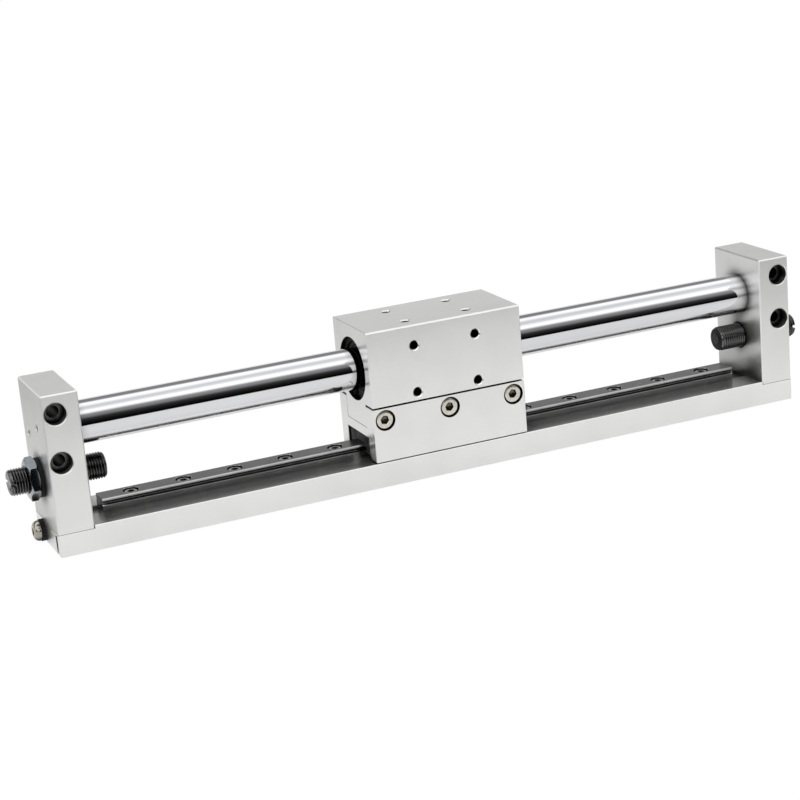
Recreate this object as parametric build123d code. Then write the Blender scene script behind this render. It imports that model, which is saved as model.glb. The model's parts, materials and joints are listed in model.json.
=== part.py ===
from build123d import *
import os
from math import cos, radians, sin, sqrt

# Magnetic rodless cylinder on a guide rail, in millimetres.
# X runs along the tube, Y from front to back, Z up. The origin is the middle of the base's underside.

# Base bar
LENGTH = 304.0
DEPTH = 33.0
BASE_THICK = 9.5
SEAT_STEP = 1.2
BASE_EDGE = 0.2
SLOT_INSET = 2.7
SLOT_WIDTH = 2.2
SLOT_HEIGHT = 7.3

# End plates
PLATE_THICK = 13.4
PLATE_HEIGHT = 51.1
PLATE_EDGE = 0.45
PLATE_FOOT_EDGE = 0.15
SIDE_HOLE_INSET = 4.7
SIDE_HOLE_LOW_Z = 34.35
SIDE_HOLE_PITCH = 17.9
SIDE_HOLE_RIM = 0.3
SMALL_HOLE_PLACES = [(9.5, 40.0), (-4.5, 45.2)]
SMALL_HOLE_R = 1.5
SMALL_HOLE_DEPTH = 4.0

# Tube, its sockets in the end plates and the air passages
TUBE_Z = 43.1
TUBE_OD = 15.8
TUBE_WALL = 0.4
SOCKET_DEPTH = 5.5
SEAL_SECTION_R = 0.58
SEAL_INSET = 2.6
PORT_INSET = 4.7
PORT_Z = 46.5
PORT_R = 2.1
PORT_DEPTH = 7.0
PASSAGE_R = 1.1

# Guide rail and its screws
RAIL_WIDTH = 9.0
RAIL_HEIGHT = 6.0
RAIL_END_GAP = 6.6
RAIL_EDGE = 0.4
RAIL_PITCH = 20.0
RAIL_END_MARGIN = 7.0
RAIL_BORE_R = 1.75
RAIL_RECESS_R = 3.0
RAIL_RECESS_DEPTH = 3.5
BALL_R = 0.79
TRACK_BELOW_TOP = 1.75

# Stop bolts through the end plates
STOP_Z = 25.8
STOP_R = 4.9
STOP_LENGTH = 35.0
STOP_EDGE = 0.9
STOP_INSIDE_LEFT = 10.0
STOP_INSIDE_RIGHT = 10.8
STOP_SCREWED_OUT = 7.0
STOP_SLOT_WIDTH = 1.4
STOP_SLOT_DEPTH = 1.6
INSERT_R = 2.4
INSERT_LENGTH = 4.0
INSERT_PROUD = 0.4
NUT_ACROSS_FLATS = 14.0
NUT_THICK = 3.6
NUT_EDGE = 0.7
NUT_TURN = 12.0
WASHER_R = 7.2
WASHER_THICK = 1.5
ENTRY_CHAMFER = 0.6

# Button screw with a washer in each end of the base
END_SCREW_Y = 6.0
END_SCREW_HEAD_R = 3.8
END_SCREW_HEAD_H = 2.6
END_SCREW_LENGTH = 5.0
END_WASHER_R = 4.05
END_WASHER_THICK = 1.6

# Slider block, its bore and the bracket below it
SLIDER_LENGTH = 62.7
SLIDER_X = 1.45
SLIDER_TOP = 60.0
SLIDER_EDGE = 0.55
SLIDER_END_EDGE = 0.2
SPLIT_Z = 30.4
SPLIT_GAP = 0.7
TONGUE_WIDTH = 18.6
TONGUE_FOOT_Z = 22.2
CROSSBAR_THICK = 3.9
BRACKET_GAP = 0.5
LIP_RISE = 2.0
LIP_SPREAD = 1.2
BORE_R = 12.2
TABLE_PITCH_X = 25.0
TABLE_PITCH_Y = 18.0
TABLE_PITCH_Z = 18.0
TAP_DEPTH = 6.0
BRACKET_SCREW_Z = 25.8
BRACKET_SCREW_INSET = 4.85
BRACKET_SCREW_LENGTH = 10.0

# Magnets outside and inside the tube
MAGNET_COUNT = 4
YOKE_LENGTH = 3.7
BUSH_LENGTH = 4.3
OUTER_RING_GAP = 0.45
YOKE_RELIEF = 0.15
SNAP_INSET = 1.6
SNAP_THICK = 1.0
SNAP_GROOVE = 0.6
SNAP_BAND = 1.9
SNAP_OPENING = 34.0
SCRAPER_LENGTH = 2.2
SCRAPER_LIP = 0.9

# Piston inside the tube
SHAFT_R = 2.5
INNER_MAGNET_R = 7.1
INNER_YOKE_R = 7.3
PISTON_R = 7.2
PISTON_LENGTH = 10.0
PISTON_SEAL_WIDTH = 2.4
PISTON_SEAL_INSET = 1.6
PISTON_BAND_WIDTH = 3.0
PISTON_GROOVE = 1.5
PISTON_BAND_GROOVE = 0.9
SHAFT_NUT_FLATS = 8.0
SHAFT_NUT_THICK = 2.7
SHAFT_PROUD = 0.5
BUMPER_R = 6.6
BUMPER_LENGTH = 4.0

# Guide carriages under the bracket
CARRIAGE_WIDTH = 20.0
CARRIAGE_TOP = 10.0
CARRIAGE_LIFT = 2.0
CARRIAGE_GAP = 1.1
CARRIAGE_RECESS = 0.6
CARRIAGE_EDGE = 0.5
CAVITY_CLEAR = 0.3
CHANNEL_CLEAR = 0.6
CAP_LENGTH = 4.2
SEAL_PLATE = 0.8
SEAL_CLEAR = 0.15
CAP_STEP = 0.3
BALL_GAP = 0.3
CAP_SCREW_Y = 5.7
CAP_SCREW_BELOW_TOP = 2.4
CAP_SCREW_R = 0.8
CAP_SCREW_LENGTH = 6.3
CAP_SCREW_HEAD_R = 1.5
CAP_SCREW_HEAD_H = 0.9
HOLDING_INSET = 5.1
HOLDING_PITCH_Y = 15.0
HOLDING_LENGTH = 6.0
HOLDING_HEAD_R = 2.75
HOLDING_HEAD_H = 1.7
HOLDING_DROP = 0.2

# Screws by thread: radius of thread, head radius, head height, key width across flats
M3 = (1.5, 2.75, 3.0, 2.5)
M4 = (2.0, 3.5, 4.0, 3.0)
M3_TAP_R = 1.25
M4_TAP_R = 1.65
TAP_CHAMFER = 0.45
M4_CLEAR_R = 2.25
M4_RECESS_R = 4.0
M4_RECESS_DEPTH = 4.4
M3_CLEAR_R = 1.7
RAIL_SCREW_LENGTH = 7.5
PLATE_SCREW_LENGTH = 16.0
PLATE_SCREW_INSET = 9.4
PLATE_SCREW_Y = 7.2
KEY_DEPTH_SHARE = 0.5
HEAD_EDGE = 0.45

# Clearances
THREAD_PLAY = 0.03
SEAT_PLAY = 0.02
RUNNING = 0.05
TRAVEL_MARGIN = 0.2

# Places worked out from the sizes
END_X = LENGTH / 2
PLATE_INNER_X = END_X - PLATE_THICK
SEAT_Z = BASE_THICK - SEAT_STEP
PLATE_TOP_Z = SEAT_Z + PLATE_HEIGHT
FRONT_Y = -DEPTH / 2
TUBE_R = TUBE_OD / 2
TUBE_BORE_R = TUBE_R - TUBE_WALL
TUBE_END_X = PLATE_INNER_X + SOCKET_DEPTH
RAIL_LENGTH = 2 * (PLATE_INNER_X - RAIL_END_GAP)
RAIL_TOP_Z = SEAT_Z + RAIL_HEIGHT
TRACK_Z = RAIL_TOP_Z - TRACK_BELOW_TOP
RAIL_HOLES = int((RAIL_LENGTH - 2 * RAIL_END_MARGIN) // RAIL_PITCH) + 1
RAIL_SCREW_X = [(i - (RAIL_HOLES - 1) / 2) * RAIL_PITCH for i in range(RAIL_HOLES)]
BLOCK_FOOT_Z = SPLIT_Z + SPLIT_GAP
CAVITY_TOP_Z = TONGUE_FOOT_Z - CROSSBAR_THICK
CAVITY_HALF = CARRIAGE_WIDTH / 2 + CAVITY_CLEAR
CARRIAGE_FOOT_Z = SEAT_Z + CARRIAGE_LIFT
CARRIAGE_LENGTH = (SLIDER_LENGTH - 2 * CARRIAGE_RECESS - CARRIAGE_GAP) / 2
BLOCK_LENGTH = CARRIAGE_LENGTH - 2 * (CAP_LENGTH + SEAL_PLATE)
HOLDING_REACH = BLOCK_LENGTH / 2 - HOLDING_INSET
CARRIAGE_PLACES = [
    SLIDER_X + side * (SLIDER_LENGTH / 2 - CARRIAGE_RECESS - CARRIAGE_LENGTH / 2) for side in (-1, 1)
]
BALL_STEP = 2 * BALL_R + BALL_GAP
BALLS_PER_ROW = int((BLOCK_LENGTH - 2 * BALL_R) // BALL_STEP)
STACK_LENGTH = SLIDER_LENGTH - 2 * (SNAP_INSET + SNAP_THICK + SCRAPER_LENGTH + BUSH_LENGTH)
MAGNET_LENGTH = (STACK_LENGTH - (MAGNET_COUNT + 1) * YOKE_LENGTH) / MAGNET_COUNT
STACK_STEP = MAGNET_LENGTH + YOKE_LENGTH
OUTER_RING_R = TUBE_R + OUTER_RING_GAP
PISTON_END = STACK_LENGTH / 2 + PISTON_LENGTH


def along_x(solid):
    # turns a solid made along +Z so that it lies along +X
    return Rot(0, 90, 0) * solid


def rod(x0, x1, r, y=0.0, z=0.0):
    return Pos((x0 + x1) / 2, y, z) * along_x(Cylinder(r, x1 - x0))


def ring(x0, x1, r_out, r_in, y=0.0, z=0.0):
    return rod(x0, x1, r_out, y, z) - rod(x0, x1, r_in, y, z)


def drill_y(x, y0, y1, z, r):
    return Pos(x, (y0 + y1) / 2, z) * Rot(90, 0, 0) * Cylinder(r, y1 - y0)


def drill_z(x, y, z0, z1, r):
    return Pos(x, y, (z0 + z1) / 2) * Cylinder(r, z1 - z0)


def block(x0, x1, y0, y1, z0, z1):
    return Pos((x0 + x1) / 2, (y0 + y1) / 2, (z0 + z1) / 2) * Box(x1 - x0, y1 - y0, z1 - z0)


def section_along_x(points, x0, x1):
    # a closed outline of (y, z) points drawn out from x0 to x1
    outline = make_face(Polyline([(x0, y, z) for y, z in points], close=True))
    return extrude(outline, amount=x1 - x0, dir=(1, 0, 0))


def hex_prism(flats, height):
    return extrude(RegularPolygon(flats / 2, 6, major_radius=False), amount=height)


def edges_along_x(solid, top_only=False):
    runs = solid.edges().filter_by(Axis.X)
    return runs.group_by(Axis.Z)[-1] if top_only else runs


def soften_ends(solid, amount):
    # takes the sharp edge off the outlines of both end faces
    ends = solid.faces().filter_by(Axis.X).sort_by(Axis.X)
    return chamfer(ends[0].edges() + ends[-1].edges(), amount)


def mirrored(solid):
    return mirror(solid, about=Plane.YZ)


def both_ends(solid):
    return Compound(children=solids_of(solid) + solids_of(mirrored(solid)))


def solids_of(shape):
    return list(shape.solids())


def group(shapes):
    return Compound(children=[solid for shape in shapes for solid in solids_of(shape)])


def socket_screw(thread, length):
    # the head stands on z = 0 and the thread points down
    thread_r, head_r, head_h, key = thread
    head = Pos(0, 0, head_h / 2) * Cylinder(head_r, head_h)
    head = chamfer(head.edges().group_by(Axis.Z)[-1], HEAD_EDGE)
    key_depth = head_h * KEY_DEPTH_SHARE
    shank = Pos(0, 0, -length / 2) * Cylinder(thread_r, length)
    shank = chamfer(shank.edges().group_by(Axis.Z)[0], HEAD_EDGE)
    return head + shank - Pos(0, 0, head_h - key_depth) * hex_prism(key, key_depth)


def tapped(depth, r):
    # a blind tapped hole from z = 0 downwards, with its countersink
    hole = Pos(0, 0, -depth / 2) * Cylinder(r, depth)
    return hole + Pos(0, 0, -TAP_CHAMFER / 2) * Cone(r, r + TAP_CHAMFER, TAP_CHAMFER)


def counterbored(through, recess_r=M4_RECESS_R, hole_r=M4_CLEAR_R, recess_depth=M4_RECESS_DEPTH):
    # a counterbored hole from z = 0 downwards
    recess = Pos(0, 0, -recess_depth / 2) * Cylinder(recess_r, recess_depth)
    return recess + Pos(0, 0, -through / 2) * Cylinder(hole_r, through)


FACING_FRONT = Rot(90, 0, 0)
FACING_BACK = Rot(-90, 0, 0)
FACING_LEFT = Rot(0, -90, 0)
FACING_DOWN = Rot(180, 0, 0)


def rail_outline(clear=0.0):
    # half widths and heights of the rail's section, grown by a clearance for what runs on it
    half = RAIL_WIDTH / 2 + clear
    top = RAIL_TOP_Z + clear
    return [
        (-half, SEAT_Z), (half, SEAT_Z), (half, top - RAIL_EDGE), (half - RAIL_EDGE, top),
        (-half + RAIL_EDGE, top), (-half, top - RAIL_EDGE),
    ]


# The ball's centre lies midway between the rail's side and the carriage's channel
TRACK_Y = RAIL_WIDTH / 2 + CHANNEL_CLEAR / 2


def ball_tracks(x0, x1):
    return rod(x0, x1, BALL_R + RUNNING, -TRACK_Y, TRACK_Z) + rod(x0, x1, BALL_R + RUNNING, TRACK_Y, TRACK_Z)


def make_base_plate():
    bar = block(-END_X, END_X, FRONT_Y, -FRONT_Y, 0, BASE_THICK)
    bar = chamfer(bar.edges(), BASE_EDGE)
    for side in (-1, 1):
        edge = side * PLATE_INNER_X
        end = side * (END_X + 1)
        bar -= block(min(edge, end), max(edge, end), FRONT_Y - 1, -FRONT_Y + 1, SEAT_Z, BASE_THICK + 1)
    groove_half = RAIL_WIDTH / 2 + SEAT_PLAY
    bar -= block(-PLATE_INNER_X, PLATE_INNER_X, -groove_half, groove_half, SEAT_Z, BASE_THICK + 1)
    slot_y = FRONT_Y + SLOT_INSET
    bar -= block(-END_X - 1, END_X + 1, slot_y, slot_y + SLOT_WIDTH, -1, SLOT_HEIGHT)
    screw_depth = RAIL_SCREW_LENGTH - (RAIL_HEIGHT - RAIL_RECESS_DEPTH) + HEAD_EDGE
    for x in RAIL_SCREW_X:
        bar -= drill_z(x, 0, SEAT_Z - screw_depth, SEAT_Z, M3[0] + THREAD_PLAY)
    for x in (-END_X + PLATE_SCREW_INSET, END_X - PLATE_SCREW_INSET):
        for y in (-PLATE_SCREW_Y, PLATE_SCREW_Y):
            bar -= Pos(x, y, 0) * FACING_DOWN * counterbored(SEAT_Z)
    screw_hole = rod(-END_X, -END_X + END_SCREW_LENGTH, M4[0] + THREAD_PLAY, END_SCREW_Y, SEAT_Z / 2)
    return bar - screw_hole - mirrored(screw_hole)


def make_end_plate(mirror_it):
    # modelled as the left plate, its outer face at low X
    plate = block(-END_X, -PLATE_INNER_X, FRONT_Y, -FRONT_Y, SEAT_Z, PLATE_TOP_Z)
    plate = chamfer(plate.edges().group_by(Axis.Z)[-1] + plate.edges().filter_by(Axis.Z), PLATE_EDGE)
    plate = chamfer(plate.edges().group_by(Axis.Z)[0], PLATE_FOOT_EDGE)
    plate -= rod(-TUBE_END_X, -PLATE_INNER_X + 1, TUBE_R + SEAT_PLAY, 0, TUBE_Z)
    seal_x = -PLATE_INNER_X - SEAL_INSET
    groove = SEAL_SECTION_R + SEAT_PLAY
    plate -= rod(seal_x - groove, seal_x + groove, TUBE_R + 2 * SEAL_SECTION_R + 3 * SEAT_PLAY, 0, TUBE_Z)
    side_x = -END_X + SIDE_HOLE_INSET
    for z in (SIDE_HOLE_LOW_Z, SIDE_HOLE_LOW_Z + SIDE_HOLE_PITCH):
        rim = Cone(M4_RECESS_R, M4_RECESS_R + SIDE_HOLE_RIM, SIDE_HOLE_RIM)
        hole = counterbored(DEPTH) + Pos(0, 0, -SIDE_HOLE_RIM / 2) * rim
        plate -= Pos(side_x, FRONT_Y, z) * FACING_FRONT * hole
    port_x = -END_X + PORT_INSET
    plate -= Pos(port_x, -FRONT_Y, PORT_Z) * FACING_BACK * tapped(PORT_DEPTH, PORT_R)
    plate -= drill_y(port_x, -PASSAGE_R, -FRONT_Y - 1, PORT_Z, PASSAGE_R)
    plate -= rod(port_x, -TUBE_END_X + 1, PASSAGE_R, 0, PORT_Z)
    for y, z in SMALL_HOLE_PLACES:
        plate -= Pos(-END_X, y, z) * FACING_LEFT * tapped(SMALL_HOLE_DEPTH, SMALL_HOLE_R)
    entry = Cone(STOP_R + ENTRY_CHAMFER, STOP_R, ENTRY_CHAMFER)
    plate -= rod(-END_X - 1, -PLATE_INNER_X + 1, STOP_R + THREAD_PLAY, 0, STOP_Z)
    plate -= Pos(-END_X + ENTRY_CHAMFER / 2, 0, STOP_Z) * along_x(entry)
    plate -= Pos(-PLATE_INNER_X - ENTRY_CHAMFER / 2, 0, STOP_Z) * Rot(0, -90, 0) * entry
    tapped_depth = PLATE_SCREW_LENGTH - (SEAT_Z - M4_RECESS_DEPTH) + HEAD_EDGE
    for y in (-PLATE_SCREW_Y, PLATE_SCREW_Y):
        x = -END_X + PLATE_SCREW_INSET
        plate -= drill_z(x, y, SEAT_Z, SEAT_Z + tapped_depth, M4[0] + THREAD_PLAY)
    return mirrored(plate) if mirror_it else plate


def make_tube():
    return ring(-TUBE_END_X, TUBE_END_X, TUBE_R, TUBE_BORE_R, 0, TUBE_Z)


def make_tube_seals():
    seal = Torus(TUBE_R + SEAL_SECTION_R + SEAT_PLAY, SEAL_SECTION_R)
    return both_ends(Pos(-PLATE_INNER_X - SEAL_INSET, 0, TUBE_Z) * along_x(seal))


def make_plate_screws():
    screw = FACING_DOWN * socket_screw(M4, PLATE_SCREW_LENGTH)
    x = -END_X + PLATE_SCREW_INSET
    pair = [Pos(x, y, M4_RECESS_DEPTH) * screw for y in (-PLATE_SCREW_Y, PLATE_SCREW_Y)]
    return both_ends(group(pair))


def make_rail():
    half = RAIL_LENGTH / 2
    rail = section_along_x(rail_outline(), -half, half) - ball_tracks(-half - 1, half + 1)
    for x in RAIL_SCREW_X:
        hole = counterbored(RAIL_HEIGHT, RAIL_RECESS_R, RAIL_BORE_R, RAIL_RECESS_DEPTH)
        rail -= Pos(x, 0, RAIL_TOP_Z) * hole
    return rail


def make_rail_screws():
    screw = socket_screw(M3, RAIL_SCREW_LENGTH)
    return group([Pos(x, 0, RAIL_TOP_Z - RAIL_RECESS_DEPTH) * screw for x in RAIL_SCREW_X])


def make_stop_bolt(inside):
    # a fully threaded bolt with a slot in its outer end and a pocket for the insert in its inner end
    inner = -PLATE_INNER_X + inside
    outer = inner - STOP_LENGTH
    bolt = rod(outer, inner, STOP_R, 0, STOP_Z)
    bolt = chamfer(bolt.edges().filter_by(GeomType.CIRCLE), STOP_EDGE)
    slot_half = STOP_SLOT_WIDTH / 2
    bolt -= block(outer - 1, outer + STOP_SLOT_DEPTH, -STOP_R, STOP_R, STOP_Z - slot_half, STOP_Z + slot_half)
    return bolt - rod(inner - INSERT_LENGTH + INSERT_PROUD, inner + 1, INSERT_R, 0, STOP_Z)


def make_stop_insert(inside):
    tip = -PLATE_INNER_X + inside + INSERT_PROUD
    insert = rod(tip - INSERT_LENGTH, tip, INSERT_R - SEAT_PLAY, 0, STOP_Z)
    return chamfer(insert.edges().filter_by(GeomType.CIRCLE).group_by(Axis.X)[-1], INSERT_PROUD * 0.6)


def make_stop_nuts():
    nut = hex_prism(NUT_ACROSS_FLATS, NUT_THICK)
    corner_r = NUT_ACROSS_FLATS / sqrt(3)
    rounded = chamfer(
        (Pos(0, 0, NUT_THICK / 2) * Cylinder(corner_r, NUT_THICK)).edges().filter_by(GeomType.CIRCLE),
        NUT_EDGE * 0.6, NUT_EDGE,
    )
    nut = nut & rounded
    nut -= Cylinder(STOP_R + THREAD_PLAY, 3 * NUT_THICK)
    placed = Pos(-END_X - WASHER_THICK, 0, STOP_Z) * Rot(0, -90, 0) * Rot(0, 0, NUT_TURN) * nut
    return both_ends(placed)


def make_stop_washers():
    return both_ends(ring(-END_X - WASHER_THICK, -END_X, WASHER_R, STOP_R + THREAD_PLAY, 0, STOP_Z))


def make_end_screws():
    head = Pos(0, 0, END_SCREW_HEAD_H / 2) * Cylinder(END_SCREW_HEAD_R, END_SCREW_HEAD_H)
    head = fillet(head.edges().group_by(Axis.Z)[-1], END_SCREW_HEAD_H * 0.75)
    screw = head + Pos(0, 0, -END_SCREW_LENGTH / 2) * Cylinder(M4[0], END_SCREW_LENGTH)
    key_depth = END_SCREW_HEAD_H * KEY_DEPTH_SHARE
    screw -= Pos(0, 0, END_SCREW_HEAD_H - key_depth) * hex_prism(M3[3], key_depth)
    return both_ends(Pos(-END_X - END_WASHER_THICK, END_SCREW_Y, SEAT_Z / 2) * FACING_LEFT * screw)


def make_end_washers():
    hole = M4[0] + THREAD_PLAY
    return both_ends(ring(-END_X - END_WASHER_THICK, -END_X, END_WASHER_R, hole, END_SCREW_Y, SEAT_Z / 2))


SLIDER_X0 = SLIDER_X - SLIDER_LENGTH / 2
SLIDER_X1 = SLIDER_X + SLIDER_LENGTH / 2
TONGUE_HALF = TONGUE_WIDTH / 2
TABLE_X = [SLIDER_X - TABLE_PITCH_X / 2, SLIDER_X + TABLE_PITCH_X / 2]
BRACKET_SCREW_REACH = SLIDER_LENGTH / 2 - BRACKET_SCREW_INSET
BRACKET_SCREW_X = [SLIDER_X + i * BRACKET_SCREW_REACH for i in (-1, 0, 1)]


def at_slider_ends(solid):
    # a solid at the slider's low X end and its mirror image at the other
    other = Pos(2 * SLIDER_X, 0, 0) * mirrored(solid)
    return group([solid, other])


def make_slider_block():
    half = DEPTH / 2
    outline = [
        (-half, BLOCK_FOOT_Z), (-TONGUE_HALF, BLOCK_FOOT_Z), (-TONGUE_HALF, TONGUE_FOOT_Z),
        (TONGUE_HALF, TONGUE_FOOT_Z), (TONGUE_HALF, BLOCK_FOOT_Z), (half, BLOCK_FOOT_Z),
        (half, SLIDER_TOP), (-half, SLIDER_TOP),
    ]
    body = section_along_x(outline, SLIDER_X0, SLIDER_X1)
    body = chamfer(edges_along_x(body, top_only=True), SLIDER_EDGE)
    body = soften_ends(body, SLIDER_END_EDGE)
    body -= rod(SLIDER_X0 - 1, SLIDER_X1 + 1, BORE_R, 0, TUBE_Z)
    groove_x = SLIDER_X0 + SNAP_INSET
    groove = rod(groove_x, groove_x + SNAP_THICK, BORE_R + SNAP_GROOVE, 0, TUBE_Z)
    for cut in solids_of(at_slider_ends(groove)):
        body -= cut
    for x in TABLE_X:
        for y in (-TABLE_PITCH_Y / 2, TABLE_PITCH_Y / 2):
            body -= Pos(x, y, SLIDER_TOP) * tapped(TAP_DEPTH, M4_TAP_R)
        for z in (TUBE_Z - TABLE_PITCH_Z / 2, TUBE_Z + TABLE_PITCH_Z / 2):
            body -= Pos(x, FRONT_Y, z) * FACING_FRONT * tapped(TAP_DEPTH, M4_TAP_R)
    reach = BRACKET_SCREW_LENGTH - (half - TONGUE_HALF - M4_RECESS_DEPTH) + HEAD_EDGE
    for x in BRACKET_SCREW_X:
        body -= drill_y(x, -TONGUE_HALF, -TONGUE_HALF + reach, BRACKET_SCREW_Z, M4[0] + THREAD_PLAY)
        body -= drill_y(x, TONGUE_HALF - reach, TONGUE_HALF, BRACKET_SCREW_Z, M4[0] + THREAD_PLAY)
    return body


def holding_places():
    places = []
    for centre in CARRIAGE_PLACES:
        for dx in (-HOLDING_REACH, HOLDING_REACH):
            for y in (-HOLDING_PITCH_Y / 2, HOLDING_PITCH_Y / 2):
                places.append((centre + dx, y))
    return places


def make_bracket():
    half = DEPTH / 2
    foot = BASE_THICK + BRACKET_GAP
    inner = TONGUE_HALF + SEAT_PLAY
    left_leg = [
        (-half, SPLIT_Z), (-half, foot), (-CAVITY_HALF - LIP_SPREAD, foot),
        (-CAVITY_HALF, foot + LIP_RISE), (-CAVITY_HALF, CAVITY_TOP_Z),
    ]
    right_leg = [(-y, z) for y, z in reversed(left_leg)]
    channel = [(inner, SPLIT_Z), (inner, TONGUE_FOOT_Z), (-inner, TONGUE_FOOT_Z), (-inner, SPLIT_Z)]
    body = section_along_x(left_leg + right_leg + channel, SLIDER_X0, SLIDER_X1)
    body = soften_ends(body, SLIDER_END_EDGE)
    for x in BRACKET_SCREW_X:
        hole = counterbored(half - inner + 1)
        body -= Pos(x, -half, BRACKET_SCREW_Z) * FACING_FRONT * hole
        body -= Pos(x, half, BRACKET_SCREW_Z) * FACING_BACK * hole
    for x, y in holding_places():
        body -= Pos(x, y, TONGUE_FOOT_Z) * countersink_cut()
    return body


def countersink_cut():
    # the way down for the head nicks the sides of the channel above the crossbar
    way_h = SPLIT_Z - TONGUE_FOOT_Z
    way = Pos(0, 0, way_h / 2) * Cylinder(HOLDING_HEAD_R + SEAT_PLAY, way_h)
    hole = Pos(0, 0, -CROSSBAR_THICK / 2) * Cylinder(M3_CLEAR_R, CROSSBAR_THICK)
    mouth_r = HOLDING_HEAD_R + SEAT_PLAY
    mouth = Pos(0, 0, -HOLDING_DROP / 2) * Cylinder(mouth_r, HOLDING_DROP)
    cone_h = HOLDING_HEAD_H
    cone = Pos(0, 0, -HOLDING_DROP - cone_h / 2) * Cone(M3[0] + SEAT_PLAY, mouth_r, cone_h)
    return hole + mouth + cone + way


def make_bracket_screws():
    screw = socket_screw(M4, BRACKET_SCREW_LENGTH)
    head_y = DEPTH / 2 - M4_RECESS_DEPTH
    placed = []
    for x in BRACKET_SCREW_X:
        placed.append(Pos(x, -head_y, BRACKET_SCREW_Z) * FACING_FRONT * screw)
        placed.append(Pos(x, head_y, BRACKET_SCREW_Z) * FACING_BACK * screw)
    return group(placed)


def make_holding_screws():
    cone = Pos(0, 0, -HOLDING_HEAD_H / 2) * Cone(M3[0], HOLDING_HEAD_R, HOLDING_HEAD_H)
    screw = cone + Pos(0, 0, -HOLDING_LENGTH / 2) * Cylinder(M3[0], HOLDING_LENGTH)
    screw -= Pos(0, 0, -HOLDING_HEAD_H * KEY_DEPTH_SHARE) * hex_prism(2.0, HOLDING_HEAD_H)
    z = TONGUE_FOOT_Z - HOLDING_DROP
    return group([Pos(x, y, z) * screw for x, y in holding_places()])


def outer_stack(first, length, gap, step):
    # rings one after another in the slider's bore
    rings = []
    count = MAGNET_COUNT + 1 if first == 0 else MAGNET_COUNT
    start = SLIDER_X - STACK_LENGTH / 2 + first
    for i in range(count):
        x = start + i * step
        rings.append(ring(x, x + length, BORE_R - SEAT_PLAY, OUTER_RING_R + gap, 0, TUBE_Z))
    return group(rings)


def make_outer_yokes():
    return outer_stack(0, YOKE_LENGTH, 0, STACK_STEP)


def make_outer_magnets():
    return outer_stack(YOKE_LENGTH, MAGNET_LENGTH, YOKE_RELIEF, STACK_STEP)


def make_outer_bushes():
    x = SLIDER_X - STACK_LENGTH / 2 - BUSH_LENGTH
    return at_slider_ends(ring(x, x + BUSH_LENGTH, BORE_R - SEAT_PLAY, TUBE_R + RUNNING, 0, TUBE_Z))


def make_scrapers():
    x = SLIDER_X0 + SNAP_INSET + SNAP_THICK
    body = ring(x, x + SCRAPER_LENGTH, BORE_R - SEAT_PLAY, TUBE_R + SCRAPER_LIP, 0, TUBE_Z)
    lip_outer = Pos(x + SCRAPER_LENGTH / 2, 0, TUBE_Z) * along_x(
        Cone(TUBE_R + SCRAPER_LIP / 2, TUBE_R + 2 * SCRAPER_LIP, SCRAPER_LENGTH))
    lip = lip_outer - rod(x - 1, x + SCRAPER_LENGTH + 1, TUBE_R + RUNNING, 0, TUBE_Z)
    return at_slider_ends(body + lip)


def make_snap_rings():
    x = SLIDER_X0 + SNAP_INSET
    r_out = BORE_R + SNAP_GROOVE - SEAT_PLAY
    band = ring(x, x + SNAP_THICK, r_out, BORE_R - SNAP_BAND, 0, TUBE_Z)
    opening_half = r_out * sin(radians(SNAP_OPENING / 2))
    band -= block(x - 1, x + SNAP_THICK + 1, -opening_half, opening_half, TUBE_Z - 2 * BORE_R, TUBE_Z)
    lug_r = SNAP_BAND * 0.8
    reach = BORE_R - SNAP_BAND * 0.9
    turn = radians(SNAP_OPENING / 2) + lug_r / reach
    for side in (-1, 1):
        y = side * reach * sin(turn)
        z = TUBE_Z - reach * cos(turn)
        band += rod(x, x + SNAP_THICK, lug_r, y, z)
        band -= rod(x - 1, x + SNAP_THICK + 1, lug_r / 2, y, z)
    return at_slider_ends(band)


def carriage_section(x0, x1, inset=0.0):
    half = CARRIAGE_WIDTH / 2 - inset
    top = SEAT_Z + CARRIAGE_TOP - inset
    foot = CARRIAGE_FOOT_Z + inset
    body = block(x0, x1, -half, half, foot, top)
    corner = edges_along_x(body, top_only=True)
    return chamfer(corner, CARRIAGE_EDGE)


def make_carriage(centre):
    x0 = centre - BLOCK_LENGTH / 2
    x1 = centre + BLOCK_LENGTH / 2
    body = carriage_section(x0, x1)
    half = RAIL_WIDTH / 2 + CHANNEL_CLEAR
    body -= block(x0 - 1, x1 + 1, -half, half, 0, RAIL_TOP_Z + CHANNEL_CLEAR)
    body -= ball_tracks(x0 - 1, x1 + 1)
    depth = HOLDING_LENGTH + HOLDING_DROP - CROSSBAR_THICK
    for dx in (-HOLDING_REACH, HOLDING_REACH):
        for y in (-HOLDING_PITCH_Y / 2, HOLDING_PITCH_Y / 2):
            body -= drill_z(centre + dx, y, CAVITY_TOP_Z - depth, CAVITY_TOP_Z + 1, M3[0] + THREAD_PLAY)
    for y, z in cap_screw_places():
        body -= rod(x0 - 1, x0 + CAP_SCREW_LENGTH - CAP_LENGTH, CAP_SCREW_R + THREAD_PLAY, y, z)
        body -= rod(x1 - CAP_SCREW_LENGTH + CAP_LENGTH, x1 + 1, CAP_SCREW_R + THREAD_PLAY, y, z)
    return body


def cap_screw_places():
    z = SEAT_Z + CARRIAGE_TOP - CAP_SCREW_BELOW_TOP
    return [(-CAP_SCREW_Y, z), (CAP_SCREW_Y, z)]


def at_carriage_ends(solid, centre):
    # a solid made for the low X end of a carriage at x = 0, placed at both ends of the one at centre
    return [Pos(centre, 0, 0) * solid, Pos(centre, 0, 0) * mirrored(solid)]


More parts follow.
